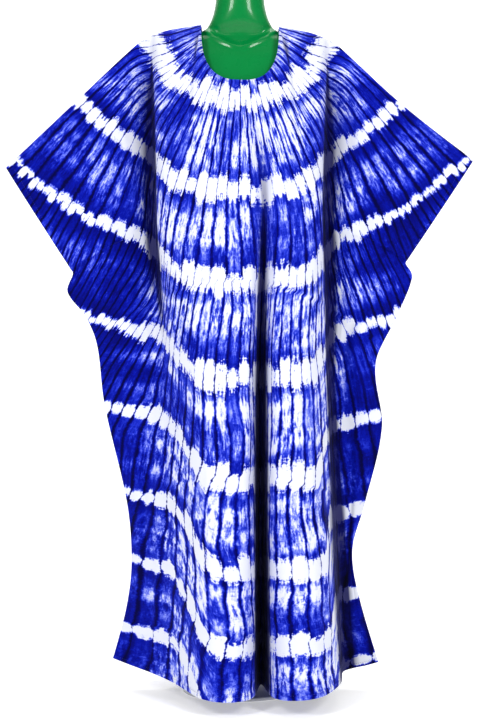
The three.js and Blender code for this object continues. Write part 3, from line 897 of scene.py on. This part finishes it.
def plain_cloth(name, colour):
    paint = Paint(name)
    tint = paint.noise(paint.object_place(), scale=180.0, detail=3.0)
    dark = tuple(part * 0.6 for part in colour)
    paint.colour(paint.ramp(tint, [(0.3, dark), (0.7, colour)]))
    paint.bump(paint.noise(paint.object_place(), scale=900.0, detail=2.0), 0.3, 0.4 * MM)
    paint.set(Roughness=0.8, Sheen_Weight=0.1, Specular_IOR_Level=0.25)
    return paint.material


def green_shell():
    paint = Paint("form_shell_green")
    mottle = paint.noise(paint.object_place(), scale=7.0, detail=3.0)
    paint.colour(paint.ramp(mottle, [(0.25, (0.0, 0.19, 0.036)), (0.75, (0.0, 0.24, 0.05))]))
    paint.roughness(paint.noise(paint.object_place(), scale=40.0, detail=2.0) * 0.08 + 0.24)
    paint.bump(paint.noise(paint.object_place(), scale=14.0, detail=2.0), 0.08, 1.5 * MM)
    paint.set(Specular_IOR_Level=0.12, Coat_Weight=0.3, Coat_Roughness=0.07)
    return paint.material


def stand_coat():
    paint = Paint("stand_coat_pale")
    mottle = paint.noise(paint.object_place(), scale=60.0, detail=4.0)
    paint.colour(paint.ramp(mottle, [(0.3, (0.66, 0.67, 0.68)), (0.7, (0.72, 0.73, 0.74))]))
    paint.roughness(paint.noise(paint.object_place(), scale=300.0, detail=3.0) * 0.2 + 0.3)
    paint.bump(paint.noise(paint.object_place(), scale=700.0, detail=2.0), 0.15, 0.2 * MM)
    paint.set(Metallic=0.2)
    return paint.material


# ---------------------------------------------------------------- the robe


def make_robe():
    dyed = {
        "front": dyed_cloth("tie_dyed_cotton_front", 3.0),
        "back": dyed_cloth("tie_dyed_cotton_back", 41.0),
    }
    thread = plain_cloth("sewing_thread", (0.01, 0.018, 0.30))
    stitch_lines = []
    for cloth in (FRONT, BACK):
        name = cloth["name"]
        robe = make_panel(cloth)
        robe.data.materials.append(dyed[name])

        hem_row = 1 - HEM_WIDTH / cloth["chest_height"] * (1 - CHEST_ROW)
        hem, face, normals = make_band(
            cloth, f"robe_hem_{name}", PLACES, even(hem_row, 1, BAND_STEPS), f"hem_{name}",
        )
        hem.data.materials.append(dyed[name])
        stitch_lines.append((face[:, 1], normals[:, 1]))

        cuff_width = HEM_WIDTH / CUFF_FOLD_WIDTH
        cuff_rows = UPPER_ROWS[8:-8]
        for side, first in (("left", 0), ("right", LAST_FOLD - cuff_width)):
            cuff, face, normals = make_band(
                cloth, f"robe_cuff_{side}_{name}", even(first, first + cuff_width, BAND_STEPS), cuff_rows,
                f"cuff_hem_{side}_{name}",
            )
            cuff.data.materials.append(dyed[name])
            line = 4 if side == "left" else 1
            stitch_lines.append((face[line], normals[line]))

        neck_fall = NECK_CORNER_HEIGHT - cloth["neck_drop"] - cloth["chest_height"]
        binding_row = CHEST_ROW * (BINDING_WIDTH / neck_fall) ** (1 / FALL_POWER)
        neck_places = even(NECK_CORNERS[0] + 0.02, NECK_CORNERS[1] - 0.02, BINDING_COLUMNS)
        neck_rows = even(0, 1, BAND_STEPS) ** 0.72 * binding_row
        binding, _, _ = make_band(
            cloth, f"robe_neck_binding_{name}", neck_places, neck_rows, f"neck_binding_{name}",
            BINDING_THICKNESS,
        )
        binding.data.materials.append(dyed[name])
    stitches = make_stitches("robe_stitches", stitch_lines)
    stitches.data.materials.append(thread)


# ---------------------------------------------------------------- the dress form

FORM_SECTIONS = [
    (716, 96, 58, 60), (726, 128, 78, 82), (760, 147, 90, 96), (840, 142, 88, 92), (930, 122, 82, 78),
    (1040, 134, 98, 84), (1130, 146, 108, 92), (1210, 156, 98, 92), (1270, 164, 84, 84), (1315, 170, 66, 66),
    (1343, 168, 50, 50), (1360, 150, 40, 42), (1371, 108, 33, 38), (1383, 77, 36, 41), (1398, 64, 43, 46),
    (1422, 55, 46, 48), (1450, 50.5, 46, 47), (1476, 50.5, 46, 47),
]


def collarbones(x, z):
    """The ridge of the collarbones, a wide U with a notch in its middle, and the hollow above it."""
    out = np.abs(x) / (66 * MM)
    ridge = (1341 + 34 * out**1.6) * MM
    notch = 1 - 0.75 * np.exp(-((x / (9 * MM)) ** 2))
    fade = smoothstep(1.7, 0.9, out)
    above = (z - ridge) / (7 * MM)
    raised = 5.5 * np.exp(-(above**2)) * notch
    hollow = 3.6 * np.exp(-((above - 2.2) ** 2) / 2.2)
    return (raised - hollow) * MM * fade


def bevelled(radius, low, high, bevel):
    """The profile of a round plate or bar with softened rims."""
    turns = even(0, math.pi / 2, 5)
    lower = [(radius - bevel * (1 - math.sin(a)), low + bevel * (1 - math.cos(a))) for a in turns]
    upper = [(radius - bevel * (1 - math.cos(a)), high - bevel * (1 - math.sin(a))) for a in turns]
    return [(0, low), *lower, *upper, (0, high)]


def make_form():
    green, coat = green_shell(), stand_coat()

    def placed(obj, node, material):
        obj.data.materials.append(material)
        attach(obj, "root")
        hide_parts(node)

    placed(oval_loft("form_shell", FORM_SECTIONS, 192, collarbones), "form_torso", green)
    cap_low, cap_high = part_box("form_neck_cap")
    cap = oval_loft("form_cap", [
        (cap_low.z / MM, 50.5, 46, 47), (cap_low.z / MM + 5.5, 50.5, 46, 47),
        (cap_high.z / MM - 1, 48.5, 44, 45), (cap_high.z / MM, 45.5, 41, 42),
    ], 128)
    placed(cap, "form_neck_cap", coat)
    base_low, base_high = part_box("form_base")
    placed(turned("stand_base", bevelled(base_high.x, base_low.z, base_high.z, 2.5 * MM)),
           "form_base", coat)
    pole_low, pole_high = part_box("form_pole")
    placed(turned("stand_pole", bevelled(pole_high.x, pole_low.z, pole_high.z, 0.6 * MM), 48),
           "form_pole", coat)
    collar_low, collar_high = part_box("form_collar")
    placed(turned("stand_collar", bevelled(collar_high.x, collar_low.z, collar_high.z, 3 * MM), 64),
           "form_collar", coat)


make_camera()
make_studio()
make_robe()
make_form()
